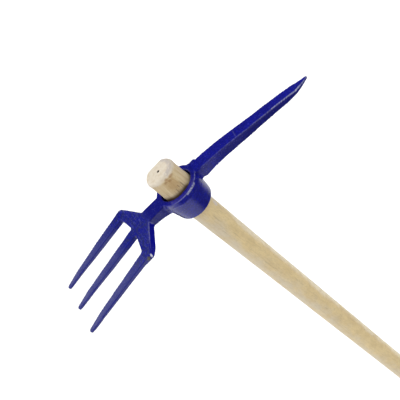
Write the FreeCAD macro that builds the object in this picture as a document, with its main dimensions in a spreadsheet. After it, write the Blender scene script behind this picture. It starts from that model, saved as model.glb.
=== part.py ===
import FreeCAD, Part
import math
import os
import Sketcher

# Two-headed pick fork: a forged steel head with a three-tine fork and a pick point, and its wooden handle.
#
# The frame's origin is the centre of the handle's butt end. +Z runs up the handle to the head, +X points
# to the pick and -X to the fork, and the tool is the same on both sides of the plane Y = 0.
# Lengths are in millimetres and angles in degrees.

DRIVING = [
    # The handle, measured up from its butt end.
    ("handle_length", 900.0, "butt end to top end"),
    ("grip_radius", 18.0, "plain round stretch, from the butt end to under the throat"),
    ("grip_length", 620.0, "length of the plain round stretch"),
    ("throat_radius", 18.5, "just under the head"),
    ("butt_round", 4.0, "rounding of the butt end's edge"),
    ("swell_start", 822.0, "height at which the swell begins"),
    ("swell_full", 855.0, "height at which the swell is widest"),
    ("swell_half_x", 21.6, "half width of the swell at its widest, along X"),
    ("swell_half_y", 19.2, "half width of the swell at its widest, along Y"),
    ("crown_half_x", 21.2, "half width of the swell at the top chamfer, along X"),
    ("crown_half_y", 18.6, "half width of the swell at the top chamfer, along Y"),
    ("crown_chamfer", 2.2, "how far the top chamfer draws the ends in, along X"),
    ("crown_drop", 4.0, "height of the top chamfer"),
    ("side_flat_low", 18.8, "distance of the two side flats from the axis, at the eye"),
    ("side_flat_high", 16.8, "distance of the two side flats from the axis, at the top chamfer"),
    ("side_flat_top", 12.8, "distance of the side flats' chamfer from the axis, at the top face"),
    ("corner_flat", 19.4, "distance of the four corner flats from the axis"),
    ("centre_radius", 1.6, "lathe centre mark in the top face"),
    ("centre_depth", 4.0, "depth of the lathe centre mark"),
    # The head, measured from the middle of its eye at the eye's top plane.
    ("eye_height", 865.0, "height of the eye's top plane above the butt end"),
    ("eye_half_x", 24.5, "half length of the eye's oval mouth"),
    ("eye_half_y", 20.0, "half width of the eye's oval mouth"),
    ("eye_low_radius", 18.8, "radius of the eye at its lower end"),
    ("ring_depth", 41.0, "depth of the eye's ring"),
    ("rim_half_x", 31.0, "half length of the ring's top edge"),
    ("rim_half_y", 28.0, "half width of the ring's top edge"),
    ("rim_drop", 7.0, "height of the ring's worn rim, down to where the ring is widest"),
    ("ring_half_x", 31.5, "half length of the ring at its widest"),
    ("ring_half_y", 29.6, "half width of the ring at its widest"),
    ("ring_low_radius", 26.8, "outside of the ring at its lower end"),
    # The fork, seen from above.
    ("neck_start", 20.0, "where the neck's sides start, inside the ring"),
    ("neck_half_start", 10.0, "half width of the neck at the ring"),
    ("neck_end", 56.7, "where the neck meets the yoke"),
    ("neck_half_end", 10.8, "half width of the neck at the yoke"),
    ("shoulder_x", 79.5, "corner between the yoke's front edge and the outer tine"),
    ("shoulder_y", 53.8, "half width of the yoke over its shoulders"),
    ("shoulder_round", 6.5, "rounding of the shoulder"),
    ("tine_root_x", 88.0, "where the tines' straight sides start"),
    ("outer_root_far", 51.95, "outer side of the outer tines at the root"),
    ("outer_root_near", 38.5, "inner side of the outer tines at the root"),
    ("centre_root_half", 6.8, "half width of the middle tine at the root"),
    ("tine_end_x", 207.5, "tips of the tines"),
    ("outer_end_far", 50.35, "outer side of the outer tines at the tip, before pointing"),
    ("outer_end_near", 42.9, "inner side of the outer tines at the tip, before pointing"),
    ("centre_end_half", 3.8, "half width of the middle tine at the tip, before pointing"),
    ("outer_middle", 46.3, "middle of the outer tines at the point"),
    ("point_start_x", 181.0, "where the tines' points start"),
    ("point_start_half", 4.45, "half width of a point at its start"),
    ("point_end_x", 205.3, "where the rounded tip starts"),
    ("point_end_half", 2.4, "half width of a point at its rounded tip"),
    ("tip_radius", 2.45, "radius of the rounded tip"),
    ("gap_outer_x", 86.3, "root of the gap at the outer tine"),
    ("gap_inner_x", 80.3, "root of the gap at the middle tine"),
    ("neck_round", 5.0, "rounding between neck and yoke"),
    ("gap_round", 4.0, "rounding of the gap's corners"),
    # The fork, seen from the side: heights of its top below the eye's top plane, and thicknesses.
    ("neck_top", 0.6, "top of the neck at the yoke, below the eye's top plane"),
    ("root_top", 4.0, "top of the tines at the root"),
    ("point_top", 20.1, "top of the tines where their points start"),
    ("fork_end_top", 26.0, "top of the tines at the tip"),
    ("neck_under_start", 26.0, "underside of the neck where it leaves the ring"),
    ("neck_under_end", 11.6, "underside of the neck at the yoke"),
    ("neck_sweep", 62.0, "radius of the neck's hollow underside"),
    ("yoke_under_x", 72.0, "where the yoke's thick part ends"),
    ("yoke_under", 14.2, "underside of the yoke there"),
    ("tine_under_x", 82.0, "where the tines' plain underside starts"),
    ("tine_under", 10.2, "underside of the tines there"),
    ("fork_end_under", 28.8, "underside of the tines at the tip"),
    ("tine_bevel", 1.6, "bevel along the tines' lower edges"),
    # The pick, seen from above and from the side.
    ("pick_start", 20.0, "where the pick's sides start, inside the ring"),
    ("pick_half_start", 9.3, "half width of the pick at the ring"),
    ("pick_wide_x", 50.0, "where the pick is widest"),
    ("pick_half_wide", 9.8, "half width there"),
    ("pick_taper_x", 168.0, "end of the pick's long taper"),
    ("pick_half_taper", 6.8, "half width there"),
    ("pick_point_x", 190.0, "where the point starts"),
    ("pick_half_point", 6.6, "half width there"),
    ("pick_end_x", 212.5, "tip of the pick"),
    ("pick_half_end", 1.2, "half width of the tip"),
    ("pick_top_start", 0.9, "top of the pick at the ring, below the eye's top plane"),
    ("pick_arch_x", 112.0, "where the top's curve ends and its straight part starts"),
    ("pick_arch_top", 14.1, "top there"),
    ("pick_arch_radius", 320.0, "radius of the top's first curve"),
    ("pick_fall_x", 165.0, "where the top's straight part ends"),
    ("pick_fall_top", 25.4, "top there"),
    ("pick_flat_radius", 300.0, "radius of the top's last curve"),
    ("pick_end_top", 32.2, "top at the tip"),
    ("pick_end_under", 33.8, "underside at the tip"),
    ("pick_heel_x", 172.0, "where the underside's last flat starts"),
    ("pick_heel_under", 33.2, "underside there"),
    ("pick_belly_x", 62.0, "where the underside's long straight part starts"),
    ("pick_belly_under", 18.3, "underside there"),
    ("pick_under_start", 21.0, "underside of the pick at the ring"),
    ("pick_belly_radius", 70.0, "radius of the underside's hollow at the ring"),
    ("reach", 90.0, "how far the waste outlines stand clear of the work"),
]

BEYOND = 1.0
"""How far a cutting tool runs past the face that it cuts through."""


class Size:
    """A number together with the expression over the sheet that gives it."""

    def __init__(self, number, text):
        self.number = number
        self.text = text

    def __add__(self, other):
        return Size(self.number + other.number, f"({self.text} + {other.text})")

    def __sub__(self, other):
        return Size(self.number - other.number, f"({self.text} - {other.text})")

    def __neg__(self):
        return Size(-self.number, f"(-{self.text})")


class Sheet:
    """The spreadsheet of driving dimensions."""

    def __init__(self, doc):
        self.numbers = {alias: number for alias, number, _ in DRIVING}
        self.cells = doc.addObject("Spreadsheet::Sheet", "sizes")
        for row, (alias, number, meaning) in enumerate(DRIVING, start=1):
            self.cells.set(f"A{row}", meaning)
            self.cells.set(f"B{row}", str(number))
            self.cells.setAlias(f"B{row}", alias)

    def __getitem__(self, alias):
        return Size(self.numbers[alias], f"sizes.{alias}")


ZERO = Size(0.0, "0")
PAST = Size(BEYOND, str(BEYOND))


def new_sketch(body, name, role, height=ZERO):
    """A sketch on one of the body's own origin planes, raised along the plane's normal."""
    sketch = body.newObject("Sketcher::SketchObject", name)
    plane = next(item for item in body.Origin.OriginFeatures if item.Role == role)
    sketch.AttachmentSupport = [(plane, "")]
    sketch.MapMode = "FlatFace"
    sketch.AttachmentOffset = FreeCAD.Placement(FreeCAD.Vector(0, 0, height.number), FreeCAD.Rotation())
    sketch.setExpression("AttachmentOffset.Base.z", height.text)
    return sketch


def bind_point(sketch, geometry, end, point):
    """Hold one end of a sketch line at a point given by two sizes."""
    for kind, size in (("DistanceX", point[0]), ("DistanceY", point[1])):
        index = sketch.addConstraint(Sketcher.Constraint(kind, -1, 1, geometry, end, size.number))
        sketch.setExpression(f"Constraints[{index}]", size.text)


def arc_through(start, end, radius):
    """The shorter arc between two points; a positive radius bulges to the left of the way from start to end."""
    chord = end - start
    left = FreeCAD.Vector(-chord.y, chord.x, 0).normalize()
    side = math.copysign(1.0, radius)
    inset = math.sqrt(radius ** 2 - (chord.Length / 2) ** 2)
    centre = (start + end) * 0.5 - left * inset * side
    bulge = centre + left * abs(radius) * side
    return Part.Arc(start, bulge, end)


def outline(sketch, points, radii=None):
    """A closed outline through points given as pairs of sizes; radii maps a side's index to its arc's radius."""
    radii = radii or {}
    places = [FreeCAD.Vector(x.number, y.number, 0) for x, y in points]
    first = sketch.GeometryCount
    for side, start in enumerate(places):
        end = places[(side + 1) % len(places)]
        if side in radii:
            sketch.addGeometry(arc_through(start, end, radii[side].number))
        else:
            sketch.addGeometry(Part.LineSegment(start, end))
    for side, point in enumerate(points):
        start_end, stop_end = 1, 2
        if side in radii and radii[side].number > 0:
            start_end, stop_end = 2, 1
        before = (side - 1) % len(points)
        before_end = 1 if before in radii and radii[before].number > 0 else 2
        sketch.addConstraint(Sketcher.Constraint("Coincident", first + before, before_end, first + side, start_end))
        bind_point(sketch, first + side, start_end, point)
        if side in radii:
            arc = sketch.addConstraint(Sketcher.Constraint("Radius", first + side, abs(radii[side].number)))
            sketch.setExpression(f"Constraints[{arc}]", f"abs({radii[side].text})")


def oval(sketch, half_x, half_y):
    """An ellipse about the sketch's origin with its long axis along the sketch's X."""
    origin = FreeCAD.Vector(0, 0, 0)
    long_end = FreeCAD.Vector(half_x.number, 0, 0)
    short_end = FreeCAD.Vector(0, half_y.number, 0)
    ring = sketch.addGeometry(Part.Ellipse(long_end, short_end, origin))
    sketch.exposeInternalGeometry(ring)
    sketch.addConstraint(Sketcher.Constraint("Coincident", ring, 3, -1, 1))
    for line, half in ((ring + 1, half_x), (ring + 2, half_y)):
        index = sketch.addConstraint(Sketcher.Constraint("Distance", line, 2 * half.number))
        sketch.setExpression(f"Constraints[{index}]", f"2 * {half.text}")
    sketch.addConstraint(Sketcher.Constraint("Horizontal", ring + 1))


def circle(sketch, radius):
    """A circle about the sketch's origin."""
    ring = sketch.addGeometry(Part.Circle(FreeCAD.Vector(0, 0, 0), FreeCAD.Vector(0, 0, 1), radius.number))
    sketch.addConstraint(Sketcher.Constraint("Coincident", ring, 3, -1, 1))
    index = sketch.addConstraint(Sketcher.Constraint("Radius", ring, radius.number))
    sketch.setExpression(f"Constraints[{index}]", radius.text)


def loft(body, kind, name, sketches):
    """A straight-sided loft through the sketches, added to the body or cut from it."""
    feature = body.newObject(kind, name)
    feature.Profile = sketches[0]
    feature.Sections = sketches[1:]
    feature.Ruled = True
    body.Document.recompute()
    return feature


def cut_both_ways(body, name, sketch):
    """A pocket that runs through everything on both sides of its sketch."""
    before = body.Shape.Volume
    feature = body.newObject("PartDesign::Pocket", name)
    feature.Profile = sketch
    feature.Type = "ThroughAll"
    feature.Midplane = True
    body.Document.recompute()
    if not feature.Shape.Volume < before:
        raise RuntimeError(f"{name} cuts nothing")
    return feature


def dress_edges(body, kind, name, size, wanted, prop):
    """A fillet or chamfer on every edge of the body that wanted() picks."""
    base = body.Tip
    names = [f"Edge{number}" for number, edge in enumerate(base.Shape.Edges, start=1) if wanted(edge)]
    feature = body.newObject(kind, name)
    feature.Base = (base, names)
    setattr(feature, prop, size.number)
    feature.setExpression(prop, size.text)
    body.Document.recompute()
    return feature


def upright_at(x, y):
    """A test for the straight upright edges at (x, +y) and (x, -y)."""
    def wanted(edge):
        box = edge.BoundBox
        stands = box.XLength < 0.01 and box.YLength < 0.01
        return stands and math.isclose(box.XMin, x.number, abs_tol=0.05) and math.isclose(
            abs(box.YMin), y.number, abs_tol=0.05)
    return wanted


def underside_of_tines(sheet):
    """A test for the long edges, each longer than the yoke is deep, of the tines' plain underside."""
    near = sheet["tine_under_x"].number
    far = sheet["tine_end_x"].number + BEYOND
    fall = (sheet["fork_end_under"].number - sheet["tine_under"].number) / (far - near)
    yoke_depth = (sheet["gap_inner_x"] - sheet["neck_end"]).number

    def wanted(edge):
        return edge.BoundBox.XLength > yoke_depth and all(
            math.isclose(-point.Z, sheet["tine_under"].number + fall * (-point.X - near), abs_tol=0.05)
            for point in edge.Vertexes)
    return wanted


def point_waste(sheet, middle):
    """What is cut from round a tine's point: a square-ended patch with the point left standing in it."""
    margin = sheet["point_start_half"] + sheet["point_start_half"]
    start = -sheet["point_start_x"]
    end = -sheet["point_end_x"]
    return [
        (start, middle + sheet["point_start_half"]),
        (end, middle + sheet["point_end_half"]),
        (end, middle - sheet["point_end_half"]),
        (start, middle - sheet["point_start_half"]),
        (start, middle - margin),
        (end - margin, middle - margin),
        (end - margin, middle + margin),
        (start, middle + margin),
    ]


def make_head(doc, sheet):
    """The forged head: ring and eye, neck, yoke with three tines, and pick."""
    body = doc.addObject("PartDesign::Body", "head")
    body.Label = "head"

    # Seen from above, the whole blank but for the ring. It's padded tall and trimmed from the side.
    half = [
        (-sheet["tine_end_x"], sheet["centre_end_half"]),
        (-sheet["gap_inner_x"], sheet["centre_root_half"]),
        (-sheet["gap_outer_x"], sheet["outer_root_near"]),
        (-sheet["tine_end_x"], sheet["outer_end_near"]),
        (-sheet["tine_end_x"], sheet["outer_end_far"]),
        (-sheet["tine_root_x"], sheet["outer_root_far"]),
        (-sheet["shoulder_x"], sheet["shoulder_y"]),
        (-sheet["neck_end"], sheet["neck_half_end"]),
        (-sheet["neck_start"], sheet["neck_half_start"]),
        (sheet["pick_start"], sheet["pick_half_start"]),
        (sheet["pick_wide_x"], sheet["pick_half_wide"]),
        (sheet["pick_taper_x"], sheet["pick_half_taper"]),
        (sheet["pick_point_x"], sheet["pick_half_point"]),
        (sheet["pick_end_x"], sheet["pick_half_end"]),
    ]
    plan = new_sketch(body, "plan", "XY_Plane")
    outline(plan, half + [(x, -y) for x, y in reversed(half)])
    blank = body.newObject("PartDesign::Pad", "blank")
    blank.Profile = plan
    blank.Length = 2 * sheet["reach"].number
    blank.setExpression("Length", f"2 * {sheet['reach'].text}")
    blank.Midplane = True
    doc.recompute()

    rounds = [
        ("neck_corner", "neck_round", "neck_end", "neck_half_end"),
        ("shoulder_corner", "shoulder_round", "shoulder_x", "shoulder_y"),
        ("gap_outer_corner", "gap_round", "gap_outer_x", "outer_root_near"),
        ("gap_inner_corner", "gap_round", "gap_inner_x", "centre_root_half"),
    ]
    for name, radius, x, y in rounds:
        dress_edges(body, "PartDesign::Fillet", name, sheet[radius], upright_at(-sheet[x], sheet[y]), "Radius")

    # Seen from the side: what lies above the head's top line is cut away, then what lies below its underside.
    far = sheet["tine_end_x"] + PAST
    out = sheet["pick_end_x"] + PAST
    clear = sheet["reach"] + PAST
    above = new_sketch(body, "above", "XZ_Plane")
    outline(above, [
        (-far, -sheet["fork_end_top"]),
        (-sheet["point_start_x"], -sheet["point_top"]),
        (-sheet["tine_root_x"], -sheet["root_top"]),
        (-sheet["neck_end"], -sheet["neck_top"]),
        (-sheet["neck_start"], ZERO),
        (sheet["pick_start"], -sheet["pick_top_start"]),
        (sheet["pick_arch_x"], -sheet["pick_arch_top"]),
        (sheet["pick_fall_x"], -sheet["pick_fall_top"]),
        (out, -sheet["pick_end_top"]),
        (out, clear),
        (-far, clear),
    ], {5: sheet["pick_arch_radius"], 7: -sheet["pick_flat_radius"]})
    cut_both_ways(body, "trim_above", above)
    below = new_sketch(body, "below", "XZ_Plane")
    outline(below, [
        (-far, -sheet["fork_end_under"]),
        (-sheet["tine_under_x"], -sheet["tine_under"]),
        (-sheet["yoke_under_x"], -sheet["yoke_under"]),
        (-sheet["neck_end"], -sheet["neck_under_end"]),
        (-sheet["neck_start"], -sheet["neck_under_start"]),
        (sheet["pick_start"], -sheet["pick_under_start"]),
        (sheet["pick_belly_x"], -sheet["pick_belly_under"]),
        (sheet["pick_heel_x"], -sheet["pick_heel_under"]),
        (out, -sheet["pick_end_under"]),
        (out, -clear),
        (-far, -clear),
    ], {3: sheet["neck_sweep"], 5: sheet["pick_belly_radius"]})
    cut_both_ways(body, "trim_below", below)
    dress_edges(body, "PartDesign::Chamfer", "tine_bevels", sheet["tine_bevel"], underside_of_tines(sheet), "Size")

    # The points: what lies outside each tine's pointed and rounded end is cut away.
    for name, middle in (("left", sheet["outer_middle"]), ("centre", ZERO), ("right", -sheet["outer_middle"])):
        waste = new_sketch(body, f"{name}_point_outline", "XY_Plane")
        outline(waste, point_waste(sheet, middle), {1: -sheet["tip_radius"]})
        cut_both_ways(body, f"{name}_point", waste)

    # The ring: a worn oval rim over a wall that draws in to a round foot.
    rim_top = new_sketch(body, "rim_top", "XY_Plane")
    oval(rim_top, sheet["rim_half_x"], sheet["rim_half_y"])
    widest = new_sketch(body, "widest", "XY_Plane", -sheet["rim_drop"])
    oval(widest, sheet["ring_half_x"], sheet["ring_half_y"])
    ring_foot = new_sketch(body, "ring_foot", "XY_Plane", -sheet["ring_depth"])
    circle(ring_foot, sheet["ring_low_radius"])
    loft(body, "PartDesign::AdditiveLoft", "rim", [rim_top, widest])
    loft(body, "PartDesign::AdditiveLoft", "wall", [widest, ring_foot])

    # The eye: oval at its mouth and round at its foot.
    mouth = new_sketch(body, "mouth", "XY_Plane")
    oval(mouth, sheet["eye_half_x"], sheet["eye_half_y"])
    foot = new_sketch(body, "foot", "XY_Plane", -sheet["ring_depth"])
    circle(foot, sheet["eye_low_radius"])
    solid = body.Shape.Volume
    loft(body, "PartDesign::SubtractiveLoft", "eye", [mouth, foot])
    if not body.Shape.Volume < solid:
        raise RuntimeError("the eye cuts nothing")
    return body


def make_handle(doc, sheet):
    """The wooden handle: a round stick with a flattened oval swell at its top end."""
    body = doc.addObject("PartDesign::Body", "handle")
    body.Label = "handle"

    stick = new_sketch(body, "stick", "XZ_Plane")
    inside = sheet["grip_radius"] - sheet["butt_round"]
    outline(stick, [
        (ZERO, ZERO),
        (inside, ZERO),
        (sheet["grip_radius"], sheet["butt_round"]),
        (sheet["grip_radius"], sheet["grip_length"]),
        (sheet["throat_radius"], sheet["swell_start"]),
        (ZERO, sheet["swell_start"]),
    ], {1: -sheet["butt_round"]})
    shaft = body.newObject("PartDesign::Revolution", "shaft")
    shaft.Profile = stick
    shaft.ReferenceAxis = (stick, ["V_Axis"])
    shaft.Angle = 360
    doc.recompute()

    throat = new_sketch(body, "throat", "XY_Plane", sheet["swell_start"])
    circle(throat, sheet["throat_radius"])
    fullest = new_sketch(body, "fullest", "XY_Plane", sheet["swell_full"])
    oval(fullest, sheet["swell_half_x"], sheet["swell_half_y"])
    crown = new_sketch(body, "crown", "XY_Plane", sheet["handle_length"] - sheet["crown_drop"])
    oval(crown, sheet["crown_half_x"], sheet["crown_half_y"])
    end = new_sketch(body, "end", "XY_Plane", sheet["handle_length"])
    oval(end, sheet["crown_half_x"] - sheet["crown_chamfer"], sheet["crown_half_y"] - sheet["crown_chamfer"])
    loft(body, "PartDesign::AdditiveLoft", "lower_swell", [throat, fullest])
    loft(body, "PartDesign::AdditiveLoft", "upper_swell", [fullest, crown])
    loft(body, "PartDesign::AdditiveLoft", "top_chamfer", [crown, end])

    # Two long flats along the sides, which lean in towards the top and end in a steeper chamfer.
    flats = new_sketch(body, "side_flats", "YZ_Plane")
    top = sheet["handle_length"] + PAST
    crown_height = sheet["handle_length"] - sheet["crown_drop"]
    outside = sheet["ring_half_x"]
    side = [
        (sheet["side_flat_low"], sheet["swell_start"]),
        (sheet["side_flat_low"], sheet["eye_height"]),
        (sheet["side_flat_high"], crown_height),
        (sheet["side_flat_top"], sheet["handle_length"]),
        (sheet["side_flat_top"], top),
        (outside, top),
        (outside, sheet["swell_start"]),
    ]
    outline(flats, side)
    outline(flats, [(-y, z) for y, z in side])
    cut_both_ways(body, "side_planing", flats)

    # Four flats between them, cut by everything outside a square that stands on its corner.
    corners = new_sketch(body, "corner_flats", "XY_Plane")
    circle(corners, sheet["ring_half_x"] + sheet["rim_drop"])
    diagonal = Size(sheet["corner_flat"].number * math.sqrt(2), f"({sheet['corner_flat'].text} * sqrt(2))")
    outline(corners, [(diagonal, ZERO), (ZERO, diagonal), (-diagonal, ZERO), (ZERO, -diagonal)])
    cut_both_ways(body, "corner_planing", corners)

    # The lathe's centre mark in the top face.
    mark = new_sketch(body, "centre_mark", "XZ_Plane")
    outline(mark, [
        (ZERO, sheet["handle_length"] - sheet["centre_depth"]),
        (sheet["centre_radius"], sheet["handle_length"]),
        (ZERO, sheet["handle_length"]),
    ])
    whole = body.Shape.Volume
    centre = body.newObject("PartDesign::Groove", "centre")
    centre.Profile = mark
    centre.ReferenceAxis = (mark, ["V_Axis"])
    centre.Angle = 360
    doc.recompute()
    if not centre.Shape.Volume < whole:
        raise RuntimeError("the centre mark cuts nothing")
    return body


def main():
    doc = FreeCAD.newDocument("pick_fork")
    sheet = Sheet(doc)
    doc.recompute()
    handle = make_handle(doc, sheet)
    head = make_head(doc, sheet)
    head.setExpression("Placement.Base.z", sheet["eye_height"].text)
    parts = [handle, head]
    doc.recompute()
    for item in doc.Objects:
        if "Invalid" in item.State or "Error" in item.State:
            raise RuntimeError(f"{item.Name} failed: {item.State}")
    os.makedirs("parts", exist_ok=True)
    for part in parts:
        if part.Shape.isNull() or not part.Shape.isValid():
            raise RuntimeError(f"{part.Label} has no valid shape")
        part.Shape.exportStep(f"parts/{part.Label}.step")
        print(part.Label, len(part.Shape.Solids), round(part.Shape.Volume), part.Shape.BoundBox)


main()
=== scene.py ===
"""Looks for the two-headed pick fork: a forged, enamelled head on a bare wooden handle.

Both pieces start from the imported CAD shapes. The head is rebuilt as one even mesh. Its edges and hollows are
softened the way a forging's are, it is moved by about a millimetre where the real head isn't quite as drawn,
and its surface is made slightly uneven. The handle is wrapped in an even grid of its own. Lengths are in
metres unless a name or a comment says otherwise.
"""
import math

import bmesh
import bpy
import numpy as np
from mathutils import Euler, Matrix, Vector, noise
from mathutils.bvhtree import BVHTree
from mathutils.kdtree import KDTree


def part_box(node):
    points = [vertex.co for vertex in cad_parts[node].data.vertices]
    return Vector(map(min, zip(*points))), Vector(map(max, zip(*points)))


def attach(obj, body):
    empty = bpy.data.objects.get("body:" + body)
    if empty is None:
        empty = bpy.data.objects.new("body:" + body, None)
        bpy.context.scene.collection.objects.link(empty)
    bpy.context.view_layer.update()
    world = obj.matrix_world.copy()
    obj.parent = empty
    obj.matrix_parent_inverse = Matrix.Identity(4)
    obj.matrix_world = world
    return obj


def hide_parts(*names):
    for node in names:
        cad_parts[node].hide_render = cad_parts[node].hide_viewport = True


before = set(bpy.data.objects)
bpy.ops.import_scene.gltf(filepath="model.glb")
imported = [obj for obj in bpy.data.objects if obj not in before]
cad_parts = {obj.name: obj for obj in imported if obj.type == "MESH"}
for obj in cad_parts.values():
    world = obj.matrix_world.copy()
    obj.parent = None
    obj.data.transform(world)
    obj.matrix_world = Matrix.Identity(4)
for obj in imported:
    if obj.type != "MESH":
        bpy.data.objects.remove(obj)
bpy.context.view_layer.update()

MM = 0.001

# Places on the tool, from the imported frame.
head_low, head_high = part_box("head")
handle_low, handle_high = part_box("handle")
EYE_TOP = head_high.z
RING_FOOT = head_low.z
HANDLE_TOP = handle_high.z
AXIS_TOP = Vector((0, 0, EYE_TOP))

# The camera is aimed at the middle of the eye's mouth, then slid a little across and rolled.
CAMERA_AZIMUTH = math.radians(6.96)
CAMERA_ELEVATION = math.radians(41.0)
CAMERA_ROLL = math.radians(-50.85)
CAMERA_DISTANCE = 0.8754
CAMERA_SLIDE_RIGHT = 0.0311
CAMERA_SLIDE_UP = -0.01851
CAMERA_LENS_MM = 62.52
CAMERA_SENSOR_MM = 36.0

# The studio's soft sides: the azimuth and elevation that each faces, the cosines of the angles from its
# centre at which it starts and is full, and its strength. The last one is a dark flag.
SOFT_SIDES = [
    (175, 20, 0.605, 0.65, 1.15),
    (205, -45, 0.66, 0.76, 1.0),
    (60, -60, 0.87, 0.95, 1.0),
    (245, -8, 0.88, 0.95, -1.0),
]
DIM = 0.05

# The studio's even lights: name, direction they come from, strength, and spread in degrees.
LIGHTS = [
    ("key", (-0.45, -0.4, 1.3), 1.3, 60),
    ("fill", (1.0, -0.3, 0.8), 1.5, 70),
    ("top", (0.1, 0.4, 1.5), 1.3, 60),
]
FLOOR_HALF_SIDE = 12.0
FLOOR_GAP = 1 * MM
WHITE = (1, 1, 1, 1)
FLOOR_PALE = (0.93, 0.93, 0.93, 1)


# ---------------------------------------------------------------- meshes

def welded_copy(node):
    """A copy of a CAD node's mesh whose faces share their corners."""
    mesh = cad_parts[node].data.copy()
    work = bmesh.new()
    work.from_mesh(mesh)
    bmesh.ops.remove_doubles(work, verts=work.verts, dist=0.001 * MM)
    work.to_mesh(mesh)
    work.free()
    mesh.materials.clear()
    return mesh


def remeshed(mesh, voxel):
    """The mesh rebuilt as one closed skin of even squares."""
    blank = bpy.data.objects.new("blank", mesh)
    bpy.context.scene.collection.objects.link(blank)
    modifier = blank.modifiers.new("voxels", "REMESH")
    modifier.mode = "VOXEL"
    modifier.voxel_size = voxel
    skin = bpy.data.meshes.new_from_object(blank.evaluated_get(bpy.context.evaluated_depsgraph_get()))
    bpy.data.objects.remove(blank)
    return skin


def points_of(mesh):
    flat = np.empty(len(mesh.vertices) * 3)
    mesh.vertices.foreach_get("co", flat)
    return flat.reshape(-1, 3)


def move_points(mesh, points):
    mesh.vertices.foreach_set("co", points.ravel())
    mesh.update()


def normals_of(mesh):
    flat = np.empty(len(mesh.vertices) * 3)
    mesh.vertex_normals.foreach_get("vector", flat)
    return flat.reshape(-1, 3)


def edges_of(mesh):
    flat = np.empty(len(mesh.edges) * 2, dtype=np.int64)
    mesh.edges.foreach_get("vertices", flat)
    return flat.reshape(-1, 2)


def neighbour_mean(values, edges):
    """For each vertex, the mean of its neighbours' values."""
    size = len(values)
    columns = values.reshape(size, -1)
    count = np.bincount(edges.ravel(), minlength=size)
    total = np.empty_like(columns)
    for column in range(columns.shape[1]):
        ahead = np.bincount(edges[:, 0], columns[edges[:, 1], column], size)
        behind = np.bincount(edges[:, 1], columns[edges[:, 0], column], size)
        total[:, column] = (ahead + behind) / count
    return total.reshape(values.shape)


def relax(mesh, rounds, weight=0.5):
    """Smooth the skin: each point goes part of the way to the mean of its neighbours."""
    points = points_of(mesh)
    edges = edges_of(mesh)
    weight = np.broadcast_to(weight, len(points))[:, None]
    for _ in range(rounds):
        points += weight * (neighbour_mean(points, edges) - points)
    move_points(mesh, points)


def steady(mesh, rounds):
    """Smooth the skin without shrinking it: each round goes towards the neighbours, then back."""
    for _ in range(rounds):
        relax(mesh, 1, 0.5)
        relax(mesh, 1, -0.52)


def fill_hollows(mesh, rounds, weight):
    """Round out the inward corners only: a point moves out where its neighbours lie in front of it."""
    edges = edges_of(mesh)
    for _ in range(rounds):
        points = points_of(mesh)
        normals = normals_of(mesh)
        pull = neighbour_mean(points, edges) - points
        rise = np.maximum(np.einsum("ij,ij->i", pull, normals), 0.0)
        points += (weight * rise)[:, None] * normals
        move_points(mesh, points)


def bulge_of(mesh, rounds):
    """How far each point stands out from the skin smoothed over its surroundings, in millimetres."""
    points = points_of(mesh)
    edges = edges_of(mesh)
    smooth = points.copy()
    for _ in range(rounds):
        smooth += 0.5 * (neighbour_mean(smooth, edges) - smooth)
    return np.einsum("ij,ij->i", points - smooth, normals_of(mesh)) / MM


def noise_at(points, size, seed):
    """Smooth noise from about -1 to 1, with lumps of the given size."""
    shift = Vector((seed * 17.3, seed * 5.7, seed * 11.9))
    return np.array([noise.noise(Vector(point) / size + shift) for point in points])


def add_lumps(mesh, lumps, share=1.0):
    """Make the skin uneven by lumps, each kind given by its height, size and seed, where share isn't 0."""
    points = points_of(mesh)
    height = sum(height * noise_at(points, size, seed) for height, size, seed in lumps) * share
    move_points(mesh, points + height[:, None] * normals_of(mesh))


def smoothstep(low, high, value):
    """0 below low and 1 above high, with a smooth step between."""
    share = np.clip((value - low) / (high - low), 0.0, 1.0)
    return share * share * (3 - 2 * share)


def band(value, start, full, fade, end):
    """1 between full and fade, falling smoothly to 0 at start and at end."""
    return smoothstep(start, full, value) * (1 - smoothstep(fade, end, value))


def near_line(points, places, width):
    """From 1 near the line through the given places to 0 at the given distance from it.

    Places and distance are in millimetres, from the handle's axis at the eye's top plane.
    """
    spots = (points - np.array(AXIS_TOP)) / MM
    nearest = np.full(len(spots), np.inf)
    for start, end in zip(np.array(places[:-1]), np.array(places[1:])):
        along = end - start
        share = np.clip((spots - start) @ along / (along @ along), 0.0, 1.0)
        nearest = np.minimum(nearest, np.linalg.norm(spots - start - share[:, None] * along, axis=1))
    return 1 - smoothstep(0.4 * width, width, nearest)


def keep_attribute(mesh, name, values):
    """Store a number for each vertex where a material can read it."""
    attribute = mesh.attributes.new(name, "FLOAT", "POINT")
    attribute.data.foreach_set("value", values.astype(np.float32))


def shade_smooth(mesh):
    mesh.polygons.foreach_set("use_smooth", np.ones(len(mesh.polygons), dtype=bool))
    mesh.update()


def add_piece(name, mesh, material, body, node):
    """Put a finished mesh on its body in place of the CAD node it stands for."""
    piece = bpy.data.objects.new(name, mesh)
    bpy.context.scene.collection.objects.link(piece)
    mesh.materials.append(material)
    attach(piece, body)
    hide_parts(node)


# ---------------------------------------------------------------- the head

# The head's mesh: its squares' size, how many rounds each smoothing takes, and its uneven skin, made of slow
# lumps with finer ones on them.
HEAD_VOXEL = 0.8 * MM
HOLLOW_ROUNDS = 14
SOFTEN_ROUNDS = 3
STEADY_ROUNDS = 8
BULGE_ROUNDS = 8
HEAD_LUMPS = [(0.12 * MM, 16 * MM, 1), (0.04 * MM, 5 * MM, 2)]

# Sharp edges turn by more than this, and are followed in steps of this length.
SHARP_ANGLE = math.radians(25)
SHARP_STEP = 0.25 * MM

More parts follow.
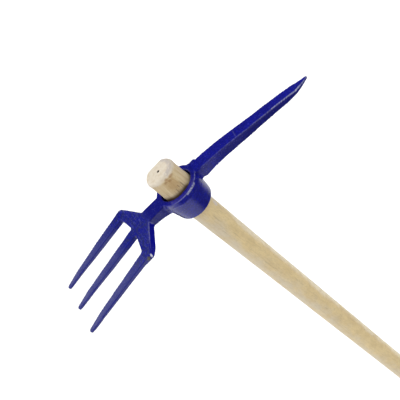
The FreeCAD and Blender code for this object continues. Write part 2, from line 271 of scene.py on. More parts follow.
# Lines on the head, each through places in millimetres from the handle's axis at the eye's top plane.
RIM_BLOTCH = [(5, -27.6, -1), (10, -26.6, -1.2), (16, -24, -1.4), (19, -22, -1.6)]
YOKE_END_FACE = [(-57, -13, -7), (-77, -50, -10)]
YOKE_EDGE = [(-56, -11, -1), (-62, -21, -1.6), (-69, -34, -2.6), (-76, -46, -3.8)]
YOKE_CORNER = [(-56, -11, -1), (-54.5, -11, -7)]
PICK_SCRATCH = [(99, 6, -9.5), (98, 0, -9.5), (96, -9, -10)]
CHIP = [(-79.2, -51.5, -4.9), (-79.4, -52.2, -7.8)]
BARE_SPOT = [(-83, -52.5, -5), (-85, -53, -7.5)]
BURR = [(31, 11, -1), (37, 10.2, -1)]

# Where paint wears along a line, lightened by wear and painted highlight: the line, the wear's reach in
# millimetres, and its strength.
RUBBED_AND_HIGHLIT_LINES = [
    (YOKE_EDGE, 1.15, 0.42),
    (YOKE_CORNER, 1.4, 0.5),
    (PICK_SCRATCH, 1.2, 0.1),
    (RIM_BLOTCH, 1.9, 0.8),
]
# The rim's light line and the crease's light line are paint wear and painted highlight.
RIM_WEAR_AND_HIGHLIGHT = 0.3
CREASE_WEAR_AND_HIGHLIGHT = 0.2
CREASE_DEPTH_MM = 7.0

# Other marks in the paint: how far each reaches from its line, in millimetres.
CHIP_REACH = 1.9
BARE_REACH = 2.8
MATT_REACH = 16
YOKE_END_FACING = (0.88, -0.47, 0)

# How far parts of the head's skin go out, in millimetres.
AWAY_FROM_RING_OUT = 0.3
EDGES_OUT = 0.5
PICK_OUT = 0.4
NECK_OUT = 0.65
FAR_AND_MIDDLE_TINE_OUT = 0.18
FAR_TINE_OUT = 0.35
BURR_OUT = 2.4
BURR_REACH = 4.2

# How far parts of the fork move towards the ring, and its middle tine sideways, in millimetres.
YOKE_MOVE = 0.35
GAP_ROOTS_MOVE = 0.55
NEAR_TINE_MOVE = 1.0
MIDDLE_TINE_BEND = 1.3

# How far the pick's back and its belly go up, each at a distance from the axis, in millimetres.
PICK_BACK = [
    (36, 0), (52, -0.9), (62, -1.15), (90, -1.1), (102, -0.8), (113, -0.3), (122, 0), (137, 0.3),
    (155, 0.9), (168, 1.3), (178, 1.1), (188, 0.4), (200, 0),
]
PICK_BELLY = [
    (36, -3.2), (42, -2.4), (47, -2.0), (56, -1.1), (64, -0.5), (70, 0), (148, 0), (162, -0.6),
    (174, -0.8), (185, -1.4), (199, -1.8), (206, -1.1), (212, -0.3),
]

# The pick's height is measured in slices of this thickness, from one distance from the axis to another.
PICK_SLICE_MM = 4
PICK_START_MM = 36
PICK_END_MM = 212


def sharp_edges(node):
    """Points close together along a CAD node's sharp outward edges, as a search tree."""
    work = bmesh.new()
    work.from_mesh(welded_copy(node))
    places = []
    for edge in work.edges:
        if len(edge.link_faces) != 2 or edge.calc_face_angle_signed(0.0) < SHARP_ANGLE:
            continue
        start, end = edge.verts[0].co, edge.verts[1].co
        steps = max(1, math.ceil((end - start).length / SHARP_STEP))
        places.extend(start.lerp(end, step / steps) for step in range(steps + 1))
    work.free()
    tree = KDTree(len(places))
    for index, place in enumerate(places):
        tree.insert(place, index)
    tree.balance()
    return tree


def worn_and_highlit_edges(points):
    """From 0 to 1, how light each edge is made by paint wear and painted highlight: the ring's rim, the pick's
    edges and the listed wear lines.

    Every distance is in millimetres.
    """
    tree = sharp_edges("head")
    x, y = points[:, 0] / MM, points[:, 1] / MM
    depth = (EYE_TOP - points[:, 2]) / MM
    across = np.hypot(x, y)
    reach = np.array([tree.find(point)[2] for point in points]) / MM
    on_edge = 1 - smoothstep(0.4, 1.1, reach)

    # The ring: its rim is lightened in front, and the crease under the rim on the fork's side, by paint wear
    # and painted highlight.
    on_ring = band(across, 24, 26, 31, 32.5)
    around = np.degrees(np.arctan2(x, -y))
    in_front = band(around, -45, -10, 60, 85)
    rim = on_edge * on_ring * (1 - smoothstep(2.5, 4, depth)) * in_front * RIM_WEAR_AND_HIGHLIGHT
    in_crease = 1 - smoothstep(0.3, 1.2, np.abs(depth - CREASE_DEPTH_MM))
    crease = on_ring * in_crease * (1 - smoothstep(-40, -10, around)) * CREASE_WEAR_AND_HIGHLIGHT

    # The pick: its edges wear more and more towards the point, and less at the very end, lightened by paint
    # wear and painted highlight.
    edge_wear_and_highlight = 0.12 + 0.22 * smoothstep(70, 110, x) + 0.75 * smoothstep(110, 175, x)
    edge_wear_and_highlight *= 1 - 0.65 * smoothstep(190, 203, x)
    worn_and_highlit = rim + crease + on_edge * smoothstep(34, 44, x) * edge_wear_and_highlight
    for places, width, strength in RUBBED_AND_HIGHLIT_LINES:
        worn_and_highlit = np.maximum(worn_and_highlit, strength * near_line(points, places, width))
    return worn_and_highlit


def keep_paint_marks(mesh, points, normals):
    """Store where the paint wears and has painted highlight, is chipped, bare or matt, where the pick's sides
    get painted shade and where the tines' sides get painted light.
    """
    x = points[:, 0] / MM
    keep_attribute(mesh, "worn_and_highlit", worn_and_highlit_edges(points))
    keep_attribute(mesh, "chipped", near_line(points, CHIP, CHIP_REACH))
    keep_attribute(mesh, "bare", near_line(points, BARE_SPOT, BARE_REACH))
    faces_ring = smoothstep(0.5, 0.75, normals @ np.array(YOKE_END_FACING))
    keep_attribute(mesh, "matt", near_line(points, YOKE_END_FACE, MATT_REACH) * faces_ring)
    sideways = smoothstep(0.5, 0.8, np.abs(normals[:, 1]))
    # Painted shade: the pick's sideways faces are darkened.
    keep_attribute(mesh, "pick_side_shade", smoothstep(45, 95, x) * sideways)
    # Painted light: the tines' sideways faces are brightened.
    keep_attribute(mesh, "tine_side_light", smoothstep(80, 95, -x) * sideways)


def let_out_by(points, normals, bulge):
    """How far each point of the smoothed head goes out, in millimetres.

    The smoothing has drawn the outward edges in, and the real head's pick, tine roots and neck are a little
    fuller than drawn. The eye's wall stays, and a burr is raised beside the pick's root.
    """
    x, y = points[:, 0] / MM, points[:, 1] / MM
    across = np.hypot(x, y)
    off_ring = smoothstep(34, 62, across)
    on_edge = smoothstep(0.06, 0.25, bulge) * (0.3 + 0.7 * off_ring)
    let_out = AWAY_FROM_RING_OUT * off_ring + EDGES_OUT * on_edge
    let_out += PICK_OUT * band(x, 70, 110, 170, 200)
    let_out += NECK_OUT * band(-x, 27, 36, 50, 60)
    tines = FAR_AND_MIDDLE_TINE_OUT * smoothstep(-45, -35, y) + FAR_TINE_OUT * smoothstep(20, 35, y)
    let_out += tines * band(-x, 78, 90, 140, 175)
    faces_axis = np.einsum("ij,ij->i", points[:, :2], normals[:, :2]) < 0
    in_eye = faces_axis * (across < 30)
    return let_out * (1 - in_eye) + BURR_OUT * near_line(points, BURR, BURR_REACH)


def pick_moves(points):
    """How far each point of the pick goes up, so that its back runs straighter and its end is deeper."""
    x, z = points[:, 0] / MM, points[:, 2]
    stations = np.arange(PICK_START_MM, PICK_END_MM, PICK_SLICE_MM)
    slices = [z[np.abs(x - station) < PICK_SLICE_MM / 2] for station in stations]
    top = np.interp(x, stations, [heights.max() for heights in slices])
    bottom = np.interp(x, stations, [heights.min() for heights in slices])
    share = np.clip((z - bottom) / (top - bottom), 0.0, 1.0)
    back = np.interp(x, *zip(*PICK_BACK))
    belly = np.interp(x, *zip(*PICK_BELLY))
    return (share * back + (1 - share) * belly) * MM * smoothstep(32.5, 38, x)


def fork_moves(points):
    """How far each point of the fork goes along X and Y.

    The yoke is nearer the ring than it was drawn, most at the gaps' roots, the near tine is a little short
    and the middle one is a little bent.
    """
    x, y = points[:, 0] / MM, points[:, 1] / MM
    at_gap_roots = smoothstep(72, 82, -x) * (1 - smoothstep(37, 43, np.abs(y)))
    along = YOKE_MOVE * smoothstep(48, 60, -x) + GAP_ROOTS_MOVE * at_gap_roots
    along *= 1 - smoothstep(92, 115, -x)
    along += NEAR_TINE_MOVE * smoothstep(170, 206, -x) * (y < -30)
    sideways = MIDDLE_TINE_BEND * smoothstep(105, 205, -x) * (np.abs(y) < 20)
    return np.stack([along, sideways], axis=1) * MM


def make_head():
    mesh = remeshed(welded_copy("head"), HEAD_VOXEL)
    points = points_of(mesh)

    # Where the ring meets the neck and the pick the forging has a deep fillet, and elsewhere a slight one.
    by_ring = 1 - smoothstep(34 * MM, 40 * MM, np.hypot(points[:, 0], points[:, 1]))
    fill_hollows(mesh, HOLLOW_ROUNDS, 0.25 + 0.6 * by_ring)
    relax(mesh, SOFTEN_ROUNDS)
    steady(mesh, STEADY_ROUNDS)

    points = points_of(mesh)
    normals = normals_of(mesh)
    points += (let_out_by(points, normals, bulge_of(mesh, BULGE_ROUNDS)) * MM)[:, None] * normals
    keep_paint_marks(mesh, points, normals)
    points[:, 2] += pick_moves(points)
    points[:, :2] += fork_moves(points)
    move_points(mesh, points)
    add_lumps(mesh, HEAD_LUMPS)
    shade_smooth(mesh)
    return mesh


# ---------------------------------------------------------------- the handle

# The handle's grid: the points round each ring, the rings across its two flat ends as shares of their full
# size, the rings' steps up the shaft and near the head, and how far out the rays that find the wood start.
AROUND = 160
BUTT_RINGS = (0.2, 0.5, 0.8, 0.97)
TOP_RINGS = (0.97, 0.93, 0.87, 0.79, 0.7, 0.6, 0.5, 0.4, 0.3, 0.2)
COARSE_STEP = 4 * MM
FINE_STEP = 0.9 * MM
OUTSIDE = 60 * MM

# The lathe's centre hole in the top face: each ring's radius, and its height from the face, in millimetres.
CENTRE_HOLE = [(2.6, 0), (2.05, 0), (1.7, -0.3), (1.6, -1.6), (1.2, -3.2), (0.5, -4.2)]
HOLE_RADIUS = 3 * MM
HOLE_DEPTH = 6 * MM
HANDLE_LUMPS = [(0.12 * MM, 22 * MM, 3)]

# How far the handle's skin goes in above the eye, and how far out again round the chamfer and top face.
ABOVE_EYE_IN = 0.25 * MM
CHAMFER_OUT = 0.55 * MM

# The scuffed edge of the top face, through places as on the head, and its reach in millimetres.
SCUFF = [(12, 11, 35), (16.5, 3, 35), (16.5, -5, 35), (12.5, -11.5, 35), (5, -14.5, 34)]
SCUFF_REACH = 3.6


def circle_of(radius, height):
    angles = np.arange(AROUND) * 2 * math.pi / AROUND
    return [Vector((radius * math.cos(a), radius * math.sin(a), height)) for a in angles]


def shrunk(ring, share, height):
    """A ring drawn in to a share of its size, at the given height."""
    return [Vector((point.x * share, point.y * share, height)) for point in ring]


def first_hits(tree, starts, ends):
    """Where each ray from a start towards its end first meets the solid."""
    return [tree.ray_cast(start, (end - start).normalized())[0] for start, end in zip(starts, ends)]


def wrapped_rings():
    """Rings of points on the CAD handle, from the middle of its butt end up to the middle of its top face."""
    hull = bmesh.new()
    hull.from_mesh(welded_copy("handle"))
    tree = BVHTree.FromBMesh(hull)
    hull.free()
    fine_start = RING_FOOT - 20 * MM
    heights = np.concatenate([
        np.arange(handle_low.z + 0.5 * MM, fine_start, COARSE_STEP),
        np.arange(fine_start, HANDLE_TOP - 0.25 * MM, FINE_STEP),
    ])
    side = [first_hits(tree, circle_of(OUTSIDE, z), circle_of(0, z)) for z in heights]
    butt = [shrunk(side[0], share, handle_low.z) for share in BUTT_RINGS]
    top = []
    for share in TOP_RINGS:
        above = shrunk(side[-1], share, HANDLE_TOP + OUTSIDE)
        top.append(first_hits(tree, above, shrunk(side[-1], share, HANDLE_TOP)))
    hole = [circle_of(radius * MM, HANDLE_TOP + height * MM) for radius, height in CENTRE_HOLE]
    return butt + side + top + hole


def skin_over(rings, name):
    """A closed mesh through rings of points."""
    work = bmesh.new()
    grid = [[work.verts.new(point) for point in ring] for ring in rings]
    for lower, upper in zip(grid, grid[1:]):
        for i in range(AROUND):
            j = (i + 1) % AROUND
            work.faces.new((lower[i], lower[j], upper[j], upper[i]))
    work.faces.new(grid[0][::-1])
    work.faces.new(grid[-1])
    mesh = bpy.data.meshes.new(name)
    work.to_mesh(mesh)
    work.free()
    return mesh


def make_handle():
    mesh = skin_over(wrapped_rings(), "wooden_handle")
    points = points_of(mesh)
    height = points[:, 2]
    across = np.hypot(points[:, 0], points[:, 1])

    # The planed corners are soft, and softest round the top face. The centre hole stays as it is.
    off_hole = 1 - (height > HANDLE_TOP - HOLE_DEPTH) * (across < HOLE_RADIUS)
    relax(mesh, 3, 0.5 * off_hole)
    near_top = smoothstep(HANDLE_TOP - 9 * MM, HANDLE_TOP - 5 * MM, height)
    relax(mesh, 5, 0.5 * near_top * off_hole)
    above_eye = smoothstep(EYE_TOP, EYE_TOP + 6 * MM, height)
    let_out = (CHAMFER_OUT * near_top - ABOVE_EYE_IN * above_eye) * off_hole
    points = points_of(mesh) + let_out[:, None] * normals_of(mesh)
    keep_attribute(mesh, "scuffed", near_line(points, SCUFF, SCUFF_REACH))
    move_points(mesh, points)
    add_lumps(mesh, HANDLE_LUMPS, off_hole)
    shade_smooth(mesh)
    return mesh


# ---------------------------------------------------------------- materials

class Nodes:
    """Small helpers for building one material's node tree."""

    def __init__(self, name):
        self.material = bpy.data.materials.new(name)
        self.material.use_nodes = True
        self.tree = self.material.node_tree
        self.tree.nodes.clear()
        self.output = self.add("ShaderNodeOutputMaterial")
        self.coordinates = self.add("ShaderNodeTexCoord").outputs["Object"]

    @classmethod
    def over(cls, tree):
        """The same helpers over another node tree, emptied first."""
        helper = cls.__new__(cls)
        helper.tree = tree
        tree.nodes.clear()
        return helper

    def add(self, kind, **properties):
        node = self.tree.nodes.new(kind)
        for key, value in properties.items():
            setattr(node, key, value)
        return node

    def feed(self, value, socket):
        """Link a socket to another, or set it to a plain value."""
        if isinstance(value, bpy.types.NodeSocket):
            self.tree.links.new(value, socket)
        else:
            socket.default_value = value

    def math(self, operation, first, second, clamp=False):
        node = self.add("ShaderNodeMath", operation=operation, use_clamp=clamp)
        self.feed(first, node.inputs[0])
        self.feed(second, node.inputs[1])
        return node.outputs[0]

    def plus(self, first, second):
        return self.math("ADD", first, second)

    def less(self, first, second, clamp=False):
        return self.math("SUBTRACT", first, second, clamp)

    def times(self, first, second, clamp=False):
        return self.math("MULTIPLY", first, second, clamp)

    def greater(self, first, second):
        return self.math("MAXIMUM", first, second)

    def noise(self, scale, detail=3.0, roughness=0.5, stretch=(1, 1, 1)):
        """Noise with so many lumps per metre, drawn out along each axis whose stretch is below 1."""
        mapping = self.add("ShaderNodeMapping")
        mapping.inputs["Scale"].default_value = stretch
        self.feed(self.coordinates, mapping.inputs["Vector"])
        node = self.add("ShaderNodeTexNoise")
        self.feed(mapping.outputs[0], node.inputs["Vector"])
        node.inputs["Scale"].default_value = scale
        node.inputs["Detail"].default_value = detail
        node.inputs["Roughness"].default_value = roughness
        return node.outputs["Fac"]

    def rise(self, value, low, high):
        """0 below low and 1 above high, with a smooth step between."""
        node = self.add("ShaderNodeMapRange", interpolation_type="SMOOTHSTEP")
        self.feed(value, node.inputs["Value"])
        node.inputs["From Min"].default_value = low
        node.inputs["From Max"].default_value = high
        return node.outputs[0]

    def fall(self, value, low, high):
        """1 below low and 0 above high, with a smooth step between."""
        return self.less(1.0, self.rise(value, low, high))

    def mix(self, share, first, second):
        node = self.add("ShaderNodeMix", data_type="RGBA")
        self.feed(share, node.inputs["Factor"])
        self.feed(first, node.inputs["A"])
        self.feed(second, node.inputs["B"])
        return node.outputs["Result"]

    def tint(self, colour, where, strength, tinted):
        """The colour, changed towards another one where the mark lies, by the strength at most."""
        return self.mix(self.times(where, strength), colour, tinted)

    def grey(self, value):
        node = self.add("ShaderNodeCombineColor")
        for socket in node.inputs[:3]:
            self.feed(value, socket)
        return node.outputs[0]

    def axis(self, name):
        """One coordinate of the surface point."""
        node = self.add("ShaderNodeSeparateXYZ")
        self.feed(self.coordinates, node.inputs[0])
        return node.outputs[name]

    def reach(self, centre, halves):
        """The distance from a mark's centre to the surface point, measured in the mark's half sizes."""
        mapping = self.add("ShaderNodeMapping", vector_type="TEXTURE")
        mapping.inputs["Location"].default_value = AXIS_TOP + Vector(centre) * MM
        mapping.inputs["Scale"].default_value = Vector(halves) * MM
        self.feed(self.coordinates, mapping.inputs["Vector"])
        node = self.add("ShaderNodeVectorMath", operation="LENGTH")
        self.feed(mapping.outputs[0], node.inputs[0])
        return node.outputs["Value"]

    def marks(self, places):
        """1 inside any of the soft, ragged-edged marks and 0 outside them."""
        total = 0.0
        ragged = self.times(self.noise(300, 3, 0.6), 0.9)
        for centre, halves in places:
            distance = self.plus(self.reach(centre, halves), ragged)
            total = self.greater(total, self.fall(distance, 0.7, 1.5))
        return total

    def attribute(self, name):
        return self.add("ShaderNodeAttribute", attribute_name=name).outputs["Fac"]

    def bump(self, height, strength, distance, normal=None):
        node = self.add("ShaderNodeBump")
        self.feed(height, node.inputs["Height"])
        node.inputs["Strength"].default_value = strength
        node.inputs["Distance"].default_value = distance
        if normal:
            self.feed(normal, node.inputs["Normal"])
        return node.outputs["Normal"]

    def surface(self, **inputs):
        shader = self.add("ShaderNodeBsdfPrincipled")
        for name, value in inputs.items():
            self.feed(value, shader.inputs[name.replace("_", " ")])
        self.feed(shader.outputs[0], self.output.inputs["Surface"])
        return self.material


# The head's colours.
BLUE = (0.0042, 0.0055, 0.205, 1)
DEEPER_BLUE = (0.004, 0.0048, 0.165, 1)
MOTTLE_DARK = (0.0025, 0.003, 0.06, 1)
MOTTLE_BRIGHT = (0.012, 0.016, 0.42, 1)
NECK_SHADE_BLUE = (0.0048, 0.0058, 0.128, 1)
YOKE_BLUE = (0.004, 0.006, 0.2, 1)
YOKE_GREYISH = (0.012, 0.016, 0.085, 1)
TINE_BLUE = (0.009, 0.0125, 0.135, 1)
SPECK = (0.035, 0.042, 0.24, 1)
BRUSH_STROKE = (0.05, 0.06, 0.27, 1)
MATT_BLUE = (0.0045, 0.0055, 0.22, 1)
TINE_SIDE_LIGHT_BLUE = (0.012, 0.015, 0.24, 1)
PICK_SIDE_SHADE_BLUE = (0.003, 0.0035, 0.08, 1)
FLECK = (0.11, 0.12, 0.34, 1)
GREY_WEAR_AND_HIGHLIGHT = (0.3, 0.31, 0.43, 1)
BARE_STEEL = (0.055, 0.05, 0.035, 1)
PRIMER = (0.6, 0.6, 0.66, 1)


def enamel_colour(n, on_fork, worn_and_highlit):
    """Blue, mottled by the forged skin, in its own coat on the fork, grey along the edges from wear and
    painted highlight, with painted shade and painted light on some faces.
    """
    x = n.axis("X")
    blue = n.mix(n.rise(n.noise(60, 4, 0.6), 0.35, 0.7), BLUE, DEEPER_BLUE)

    # Fine mottling from the forged skin under the coat.
    blue = n.tint(blue, n.rise(n.noise(430, 2, 0.7), 0.4, 0.62), 0.42, MOTTLE_DARK)
    blue = n.tint(blue, n.rise(n.noise(380, 2, 0.7), 0.48, 0.66), 0.3, MOTTLE_BRIGHT)

    # The fork was brushed in its own coat: darker, uneven and speckled, with strokes across the yoke.
    # Painted shade darkens the blue from the neck outward.
    blue = n.tint(blue, n.fall(x, -48 * MM, -18 * MM), 0.8, NECK_SHADE_BLUE)
    coat = n.mix(n.rise(n.noise(260, 3, 0.65), 0.4, 0.6), YOKE_BLUE, YOKE_GREYISH)
    coat = n.mix(n.rise(x, -120 * MM, -92 * MM), TINE_BLUE, coat)
    blue = n.tint(blue, on_fork, 0.8, coat)
    specks = n.rise(n.noise(480, 3, 0.7), 0.54, 0.66)
    blue = n.tint(blue, specks, n.plus(0.3, n.times(on_fork, 0.35)), SPECK)
    strokes = n.rise(n.noise(430, 3, 0.6, stretch=(1, 0.14, 1)), 0.55, 0.66)
    on_yoke = n.times(on_fork, n.rise(x, -92 * MM, -80 * MM))
    blue = n.tint(blue, n.times(strokes, on_yoke), 0.45, BRUSH_STROKE)

    blue = n.mix(n.attribute("matt"), blue, MATT_BLUE)
    # Painted light brightens the tines' sides.
    blue = n.tint(blue, n.attribute("tine_side_light"), 0.35, TINE_SIDE_LIGHT_BLUE)
    # Painted shade darkens the pick's sides.
    blue = n.tint(blue, n.attribute("pick_side_shade"), 0.5, PICK_SIDE_SHADE_BLUE)
    blue = n.tint(blue, n.rise(n.noise(560, 2, 0.6), 0.66, 0.72), 0.5, FLECK)

    # Light edges from paint wear and painted highlight, one bare spot and one chip down to the primer.
    colour = n.mix(worn_and_highlit, blue, GREY_WEAR_AND_HIGHLIGHT)
    colour = n.mix(n.attribute("bare"), colour, BARE_STEEL)
    return n.mix(n.attribute("chipped"), colour, PRIMER)


def enamel():
    """Deep blue gloss enamel over a forged skin."""
    n = Nodes("blue_enamel")
    x, y = n.axis("X"), n.axis("Y")
    on_fork = n.fall(x, -62 * MM, -46 * MM)
    ragged = n.plus(0.35, n.times(n.rise(n.noise(420, 4, 0.7), 0.36, 0.6), 0.95))
    worn_and_highlit = n.times(n.attribute("worn_and_highlit"), ragged, clamp=True)
    matt = n.attribute("matt")
    colour = enamel_colour(n, on_fork, worn_and_highlit)
    fine = n.bump(n.noise(450, 3, 0.7), 0.8, 0.25 * MM)
    skin = n.bump(n.noise(170, 3, 0.55), 0.55, 0.35 * MM, fine)

    # Uneven roughness: duller along the light edge lines, and matt on the yoke's end face.
    rough = n.plus(n.times(n.noise(140, 4), 0.16), n.times(worn_and_highlit, 0.3))
    rough = n.plus(rough, n.times(matt, 0.4))

    # The gloss is weaker on that face, at the tines' roots and on the pick's sides.
    at_root = n.times(n.rise(x, -122 * MM, -94 * MM), n.rise(y, -60 * MM, -20 * MM))
    at_root = n.times(at_root, n.less(1.0, n.times(n.rise(x, -88 * MM, -76 * MM), 0.7)))
    at_root = n.times(at_root, on_fork)
    gloss = n.less(0.5, n.times(matt, 0.42))
    gloss = n.less(gloss, n.times(at_root, 0.4))
    gloss = n.less(gloss, n.times(n.attribute("pick_side_shade"), 0.15), clamp=True)
    return n.surface(Base_Color=colour, Roughness=n.plus(rough, 0.1), Normal=skin, Specular_IOR_Level=gloss)


# Marks on the handle: each a centre from the axis at the eye's top plane and half sizes, in millimetres.
BROWNED = [((1, -18, 18), (10, 8, 18))]
SMUDGES = [
    ((0, -16.5, 30), (3.6, 6, 2.6)),
    ((8, -17, 29), (4.5, 6, 3.2)),
    ((3, -17, 25), (3.6, 6, 2.6)),
    ((-3, -17, 27), (3, 6, 3)),
]
DARK_GRAIN = [((9, -18, 8), (1.2, 5, 8)), ((4, -18, 10), (0.9, 5, 5)), ((-1, -18.5, 6), (0.9, 5, 6))]
PAINT_SMEARS = [((18, 0, -53), (6, 7, 7)), ((16, -9, -62), (4, 5, 6))]
# The centre hole's inside, painted near-black as painted shade.
CENTRE_HOLE_SHADE = ((0, 0, 33), (1, 1, 4))

# The handle's colours.
TAN = (0.7, 0.55, 0.285, 1)
PALE_SHEEN = (0.59, 0.51, 0.37, 1)
CREAM_HIGHLIGHT = (0.82, 0.75, 0.6, 1)
PATCH = (0.56, 0.42, 0.2, 1)
GRAIN_BROWN = (0.45, 0.33, 0.17, 1)
HAIR_BROWN = (0.3, 0.21, 0.12, 1)
FLECK_BROWN = (0.46, 0.35, 0.2, 1)
HAIRLINE = (0.2, 0.15, 0.11, 1)
HANDLED_PALE = (0.62, 0.5, 0.3, 1)
HANDLED_DARK = (0.5, 0.36, 0.18, 1)
HANDLED_BROWN = (0.38, 0.22, 0.075, 1)
STREAK_BROWN = (0.28, 0.165, 0.06, 1)
GRAIN_DARK = (0.15, 0.08, 0.035, 1)
END_CREAM = (0.58, 0.52, 0.425, 1)
END_TAN = (0.52, 0.44, 0.33, 1)
SMUDGE_BROWN = (0.3, 0.15, 0.05, 1)
SCUFF_GREY = (0.36, 0.32, 0.31, 1)
GRIME_AND_SHADE = (0.065, 0.032, 0.012, 1)
SMEARED_PAINT = (0.55, 0.56, 0.68, 1)
SPECK_BROWN = (0.17, 0.11, 0.07, 1)
HOLE_SHADE_BROWN = (0.03, 0.018, 0.01, 1)


def plain_wood(n, x, grain, hair):
    """Wood: a painted greyish, pale sheen on the fork's side, tan in the middle, and a painted cream highlight
    towards the pick.
    """
    clouds = n.noise(34, 5, 0.6, stretch=(1, 1, 0.5))
    wander = n.times(n.less(clouds, 0.5), 60 * MM)
    # The fork's side is painted pale and greyish as a painted sheen, and the pick's edge cream as a painted
    # highlight, with cloudy edges.
    wood = n.mix(n.rise(n.plus(x, wander), -17 * MM, 7 * MM), PALE_SHEEN, TAN)
    wood = n.tint(wood, n.rise(n.plus(x, n.times(wander, 0.3)), 12 * MM, 17 * MM), 0.7, CREAM_HIGHLIGHT)
    wood = n.tint(wood, n.rise(n.noise(70, 4, 0.6, stretch=(1, 1, 0.6)), 0.42, 0.66), 0.45, PATCH)
    wood = n.tint(wood, n.rise(grain, 0.5, 0.75), 0.32, GRAIN_BROWN)
    wood = n.tint(wood, n.rise(hair, 0.52, 0.75), 0.26, HAIR_BROWN)
    wood = n.tint(wood, n.rise(n.noise(620, 3, 0.7, stretch=(1, 1, 0.3)), 0.45, 0.62), 0.3, FLECK_BROWN)
    return n.tint(wood, n.rise(n.noise(520, 3, 0.7, stretch=(1, 1, 0.06)), 0.62, 0.68), 0.3, HAIRLINE)


def handled_wood(n, wood, x, z):
    """Above the head the sides are browner and more streaked, most of all in front."""
    above = n.rise(z, EYE_TOP - 8 * MM, EYE_TOP + 1 * MM)
    streaks = n.noise(240, 4, 0.7, stretch=(1, 1, 0.09))
    handled = n.mix(n.rise(streaks, 0.4, 0.68), HANDLED_PALE, HANDLED_DARK)
    wood = n.tint(wood, above, 0.75, handled)
    wood = n.tint(wood, n.marks(BROWNED), 0.62, HANDLED_BROWN)
    low_down = n.times(n.fall(z, EYE_TOP + 5 * MM, EYE_TOP + 22 * MM), above)
    low_down = n.times(low_down, n.rise(streaks, 0.48, 0.62))
    low_down = n.times(low_down, n.fall(x, 7 * MM, 13 * MM))
    wood = n.tint(wood, low_down, 0.4, STREAK_BROWN)
    return n.tint(wood, n.marks(DARK_GRAIN), 0.6, GRAIN_DARK)


def wood_end(n, wood, z):
    """The chamfer and the top face are paler, with thumbed smudges under them and a scuffed grey edge."""
    cream = n.mix(n.rise(n.noise(180, 4, 0.65), 0.4, 0.7), END_CREAM, END_TAN)
    wood = n.mix(n.rise(z, HANDLE_TOP - 6.5 * MM, HANDLE_TOP - 2.5 * MM), wood, cream)
    wood = n.tint(wood, n.marks(SMUDGES), 0.6, SMUDGE_BROWN)
    scuffed = n.times(n.attribute("scuffed"), n.rise(n.noise(260, 3, 0.6), 0.25, 0.5))
    return n.tint(wood, scuffed, 0.65, SCUFF_GREY)


def wood_dirt_and_shade(n, wood, x, y, z):
    """Grime and painted shade where the wood enters the eye, highest in front; smeared paint, specks and
    painted shade in the centre hole.
    """
    level = n.plus(z, n.times(y, 0.13))
    level = n.plus(level, n.times(n.rise(x, 9 * MM, 15 * MM), 5 * MM))
    above_foot = n.rise(z, RING_FOOT, EYE_TOP - 10 * MM)
    # Grime and painted shade: dark at the eye's mouth and all the way down inside the eye.
    grime_and_shade = n.times(n.fall(level, EYE_TOP - 3 * MM, EYE_TOP + 4.5 * MM), above_foot)
    wood = n.tint(wood, grime_and_shade, 0.95, GRIME_AND_SHADE)
    smears = n.times(n.marks(PAINT_SMEARS), n.rise(n.noise(420, 4, 0.7), 0.36, 0.54))
    wood = n.tint(wood, smears, 0.85, SMEARED_PAINT)
    wood = n.tint(wood, n.rise(n.noise(520, 2, 0.6, stretch=(1, 1, 0.6)), 0.69, 0.75), 0.6, SPECK_BROWN)
    # Painted shade fills the centre hole.
    return n.mix(n.fall(n.reach(*CENTRE_HOLE_SHADE), 1.5, 2.1), wood, HOLE_SHADE_BROWN)


def bare_wood():
    """Pale bare wood: cloudy, fine-grained, brown with handling above the head, with a cream top face."""
    n = Nodes("handle_wood")
    x, y, z = n.axis("X"), n.axis("Y"), n.axis("Z")
    grain = n.noise(300, 4, 0.6, stretch=(1, 1, 0.035))
    hair = n.noise(1500, 2, 0.6, stretch=(1, 1, 0.03))
    wood = plain_wood(n, x, grain, hair)
    wood = handled_wood(n, wood, x, z)
    wood = wood_end(n, wood, z)
    wood = wood_dirt_and_shade(n, wood, x, y, z)
    bumps = n.bump(hair, 0.25, 0.12 * MM, n.bump(grain, 0.3, 0.2 * MM))
    return n.surface(Base_Color=wood, Roughness=0.6, Normal=bumps)


# ---------------------------------------------------------------- studio

def add_camera():
    data = bpy.data.cameras.new("camera")
    data.lens = CAMERA_LENS_MM
    data.sensor_width = CAMERA_SENSOR_MM
    camera = bpy.data.objects.new("camera", data)
    bpy.context.scene.collection.objects.link(camera)
    turn = Matrix.Rotation(CAMERA_AZIMUTH, 3, "Z") @ Matrix.Rotation(math.pi / 2 - CAMERA_ELEVATION, 3, "X")
    turn = turn @ Matrix.Rotation(CAMERA_ROLL, 3, "Z")
    place = AXIS_TOP + turn @ Vector((CAMERA_SLIDE_RIGHT, CAMERA_SLIDE_UP, CAMERA_DISTANCE))
    camera.matrix_world = Matrix.Translation(place) @ turn.to_4x4()
    bpy.context.scene.camera = camera


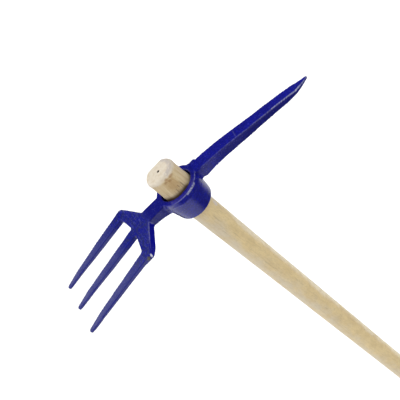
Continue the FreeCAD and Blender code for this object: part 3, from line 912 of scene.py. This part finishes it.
def add_floor():
    """A plain pale floor just under the butt end, which takes soft shadows but isn't seen in the gloss."""
    side = FLOOR_HALF_SIDE
    mesh = bpy.data.meshes.new("floor")
    corners = [(-side, -side, 0), (side, -side, 0), (side, side, 0), (-side, side, 0)]
    mesh.from_pydata(corners, [], [(0, 1, 2, 3)])
    floor = bpy.data.objects.new("floor", mesh)
    floor.location.z = handle_low.z - FLOOR_GAP
    bpy.context.scene.collection.objects.link(floor)
    mesh.materials.append(Nodes("floor").surface(Base_Color=FLOOR_PALE, Roughness=0.8))
    floor.visible_glossy = False


def add_light(name, toward, strength, spread):
    """An even light from a direction, spread over an angle in degrees so that its shadows are soft."""
    data = bpy.data.lights.new(name, "SUN")
    data.energy = strength
    data.angle = math.radians(spread)
    light = bpy.data.objects.new(name, data)
    light.location = AXIS_TOP + Vector(toward)
    light.rotation_euler = Vector(toward).to_track_quat("Z", "Y").to_euler()
    light.visible_glossy = False
    bpy.context.scene.collection.objects.link(light)


def add_world():
    """A dim studio whose soft pale sides give the gloss, with a plain white backdrop for the camera."""
    world = bpy.data.worlds.new("studio")
    world.use_nodes = True
    n = Nodes.over(world.node_tree)
    direction = n.add("ShaderNodeTexCoord").outputs["Generated"]
    light = DIM
    for azimuth, elevation, low, high, strength in SOFT_SIDES:
        facing = Euler((0, -math.radians(elevation), math.radians(azimuth))).to_matrix() @ Vector((1, 0, 0))
        toward = n.add("ShaderNodeVectorMath", operation="DOT_PRODUCT")
        n.feed(direction, toward.inputs[0])
        toward.inputs[1].default_value = facing
        light = n.plus(n.times(n.rise(toward.outputs["Value"], low, high), strength), light)
    light = n.greater(light, DIM)
    seen = n.add("ShaderNodeLightPath").outputs["Is Camera Ray"]
    background = n.add("ShaderNodeBackground")
    n.feed(n.mix(seen, n.grey(light), WHITE), background.inputs["Color"])
    n.feed(background.outputs[0], n.add("ShaderNodeOutputWorld").inputs["Surface"])
    bpy.context.scene.world = world


def main():
    bpy.context.scene.view_settings.view_transform = "Standard"
    add_camera()
    add_floor()
    add_world()
    for name, toward, strength, spread in LIGHTS:
        add_light(name, toward, strength, spread)
    add_piece("forged_head", make_head(), enamel(), "head", "head")
    add_piece("wooden_handle", make_handle(), bare_wood(), "handle", "handle")


main()
